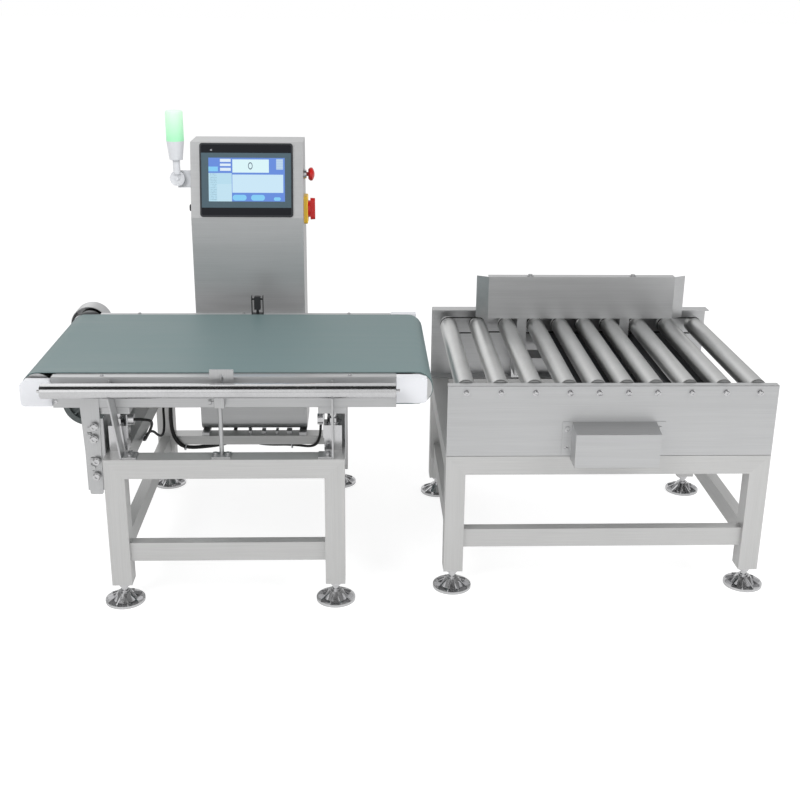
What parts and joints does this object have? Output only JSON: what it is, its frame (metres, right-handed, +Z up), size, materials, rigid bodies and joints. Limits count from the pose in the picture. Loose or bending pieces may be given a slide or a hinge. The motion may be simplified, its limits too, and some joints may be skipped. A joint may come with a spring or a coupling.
{
  "type": "conveyor belt scale",
  "caption": "In-line belt scale: a belt conveyor on a load-cell frame with a control column and stack light, beside a driven-roller reject table with a pneumatic pusher",
  "frame": {"origin": "on the floor, at the centre of the plan outline", "axes": "+X along the line from the weigher to the reject table, +Y from the operator side to the column side, +Z up"},
  "size_m": [1.909, 0.9849, 1.153],
  "materials": {
    "steel_tube": "brushed",
    "steel_sheet": "brushed",
    "turned_steel": "polished",
    "satin_roller": "satin",
    "cast_alloy": "satin",
    "belt_rubber": "matt",
    "black_rubber": "matt",
    "white_plastic": "satin",
    "black_plastic": "matt",
    "grey_paint": "satin",
    "panel_glass": "gloss",
    "red_plastic": "gloss",
    "yellow_plastic": "satin",
    "green_lens": "gloss"
  },
  "bodies": {
    "stand": {"air_cylinder": "cast_alloy", "belt": "belt_rubber", "cables": "black_rubber", "column_mounts": "steel_sheet", "column_sides": "steel_sheet", "column_wrap": "steel_sheet", "deck_covers": "grey_paint", "door_hinges": "turned_steel", "drive_box": "steel_sheet", "drive_motor": "grey_paint", "end_covers": "white_plastic", "foot_pads": "turned_steel", "foot_studs": "turned_steel", "front_panel": "steel_sheet", "guard_brackets": "steel_sheet", "guard_tube": "satin_roller", "guide_rods": "turned_steel", "light_bracket": "steel_sheet", "load_posts": "turned_steel", "motor_plate": "cast_alloy", "panel_bezel": "grey_paint", "panel_glass": "panel_glass", "photo_eye": "black_plastic", "platform_bars": "steel_sheet", "pulley_guard": "steel_sheet", "rear_panel": "steel_sheet", "roller_axles": "turned_steel", "roller_loops": "black_rubber", "scale_legs": "steel_tube", "scale_rails": "steel_tube", "sensor_post": "cast_alloy", "side_plates": "steel_sheet", "side_skirts": "steel_sheet", "slider_bed": "steel_sheet", "slotted_brace": "steel_sheet", "stop_collar": "cast_alloy", "switch_plate": "yellow_plastic", "table_legs": "steel_tube", "table_rails": "steel_tube", "timing_belt": "black_rubber"},
    "drive_roller": {"drive_roller": "satin_roller"},
    "tail_roller": {"tail_roller": "satin_roller"},
    "motor_shaft": {"motor_pulley": "cast_alloy"},
    "door": {"column_door": "steel_sheet"},
    "stop": {"stop_button": "red_plastic"},
    "switch": {"switch_handle": "red_plastic"},
    "light": {"light_body": "white_plastic", "light_lens": "green_lens"},
    "pusher": {"pusher_plate": "steel_sheet", "pusher_carriage": "steel_sheet"},
    "roller_1": {"table_roller_1": "satin_roller"},
    "roller_2": {"table_roller_2": "satin_roller"},
    "roller_3": {"table_roller_3": "satin_roller"},
    "roller_4": {"table_roller_4": "satin_roller"},
    "roller_5": {"table_roller_5": "satin_roller"},
    "roller_6": {"table_roller_6": "satin_roller"},
    "roller_7": {"table_roller_7": "satin_roller"},
    "roller_8": {"table_roller_8": "satin_roller"},
    "roller_9": {"table_roller_9": "satin_roller"},
    "roller_10": {"table_roller_10": "satin_roller"}
  },
  "joints": [
    {"name": "drive_roller_turn", "type": "hinge", "parent": "stand", "child": "drive_roller", "pos_m": [-0.9005, -0.1275, 0.558], "axis": [0, 1, 0], "continuous": true},
    {"name": "tail_roller_turn", "type": "hinge", "parent": "stand", "child": "tail_roller", "pos_m": [0.0235, -0.1275, 0.558], "axis": [0, 1, 0], "continuous": true},
    {"name": "motor_turn", "type": "hinge", "parent": "stand", "child": "motor_shaft", "pos_m": [-0.8685, 0.2075, 0.405], "axis": [0, 1, 0], "continuous": true},
    {"name": "door_hinge", "type": "hinge", "parent": "stand", "child": "door", "pos_m": [-0.6085, 0.4885, 0.6], "axis": [0, 0, 1], "range_deg": [0, 110]},
    {"name": "stop_press", "type": "slide", "parent": "stand", "child": "stop", "axis": [-1, 0, 0], "range_m": [0, 0.005], "stiffness_N_per_m": 500},
    {"name": "switch_turn", "type": "hinge", "parent": "stand", "child": "switch", "pos_m": [-0.2805, 0.3825, 0.863], "axis": [1, 0, 0], "range_deg": [0, 90]},
    {"name": "light_tilt", "type": "hinge", "parent": "stand", "child": "light", "pos_m": [-0.6505, 0.3495, 0.957], "axis": [0, 1, 0], "range_deg": [-40, 5]},
    {"name": "pusher_stroke", "type": "slide", "parent": "stand", "child": "pusher", "axis": [0, -1, 0], "range_m": [0, 0.48]},
    {"name": "roller_1_turn", "type": "hinge", "parent": "stand", "child": "roller_1", "pos_m": [0.148, -0.0655, 0.549], "axis": [0, 1, 0], "continuous": true},
    {"name": "roller_2_turn", "type": "hinge", "parent": "stand", "child": "roller_2", "pos_m": [0.234, -0.0655, 0.549], "axis": [0, 1, 0], "continuous": true},
    {"name": "roller_3_turn", "type": "hinge", "parent": "stand", "child": "roller_3", "pos_m": [0.32, -0.0655, 0.549], "axis": [0, 1, 0], "continuous": true},
    {"name": "roller_4_turn", "type": "hinge", "parent": "stand", "child": "roller_4", "pos_m": [0.406, -0.0655, 0.549], "axis": [0, 1, 0], "continuous": true},
    {"name": "roller_5_turn", "type": "hinge", "parent": "stand", "child": "roller_5", "pos_m": [0.479, -0.0655, 0.549], "axis": [0, 1, 0], "continuous": true},
    {"name": "roller_6_turn", "type": "hinge", "parent": "stand", "child": "roller_6", "pos_m": [0.552, -0.0655, 0.549], "axis": [0, 1, 0], "continuous": true},
    {"name": "roller_7_turn", "type": "hinge", "parent": "stand", "child": "roller_7", "pos_m": [0.625, -0.0655, 0.549], "axis": [0, 1, 0], "continuous": true},
    {"name": "roller_8_turn", "type": "hinge", "parent": "stand", "child": "roller_8", "pos_m": [0.711, -0.0655, 0.549], "axis": [0, 1, 0], "continuous": true},
    {"name": "roller_9_turn", "type": "hinge", "parent": "stand", "child": "roller_9", "pos_m": [0.797, -0.0655, 0.549], "axis": [0, 1, 0], "continuous": true},
    {"name": "roller_10_turn", "type": "hinge", "parent": "stand", "child": "roller_10", "pos_m": [0.883, -0.0655, 0.549], "axis": [0, 1, 0], "continuous": true}
  ],
  "couplings": [
    {"joint": "tail_roller_turn", "follows": "drive_roller_turn", "ratio": 1},
    {"joint": "motor_turn", "follows": "drive_roller_turn", "ratio": 1.4},
    {"joint": "roller_2_turn", "follows": "roller_1_turn", "ratio": 1},
    {"joint": "roller_3_turn", "follows": "roller_1_turn", "ratio": 1},
    {"joint": "roller_4_turn", "follows": "roller_1_turn", "ratio": 1},
    {"joint": "roller_5_turn", "follows": "roller_1_turn", "ratio": 1},
    {"joint": "roller_6_turn", "follows": "roller_1_turn", "ratio": 1},
    {"joint": "roller_7_turn", "follows": "roller_1_turn", "ratio": 1},
    {"joint": "roller_8_turn", "follows": "roller_1_turn", "ratio": 1},
    {"joint": "roller_9_turn", "follows": "roller_1_turn", "ratio": 1},
    {"joint": "roller_10_turn", "follows": "roller_1_turn", "ratio": 1}
  ]
}
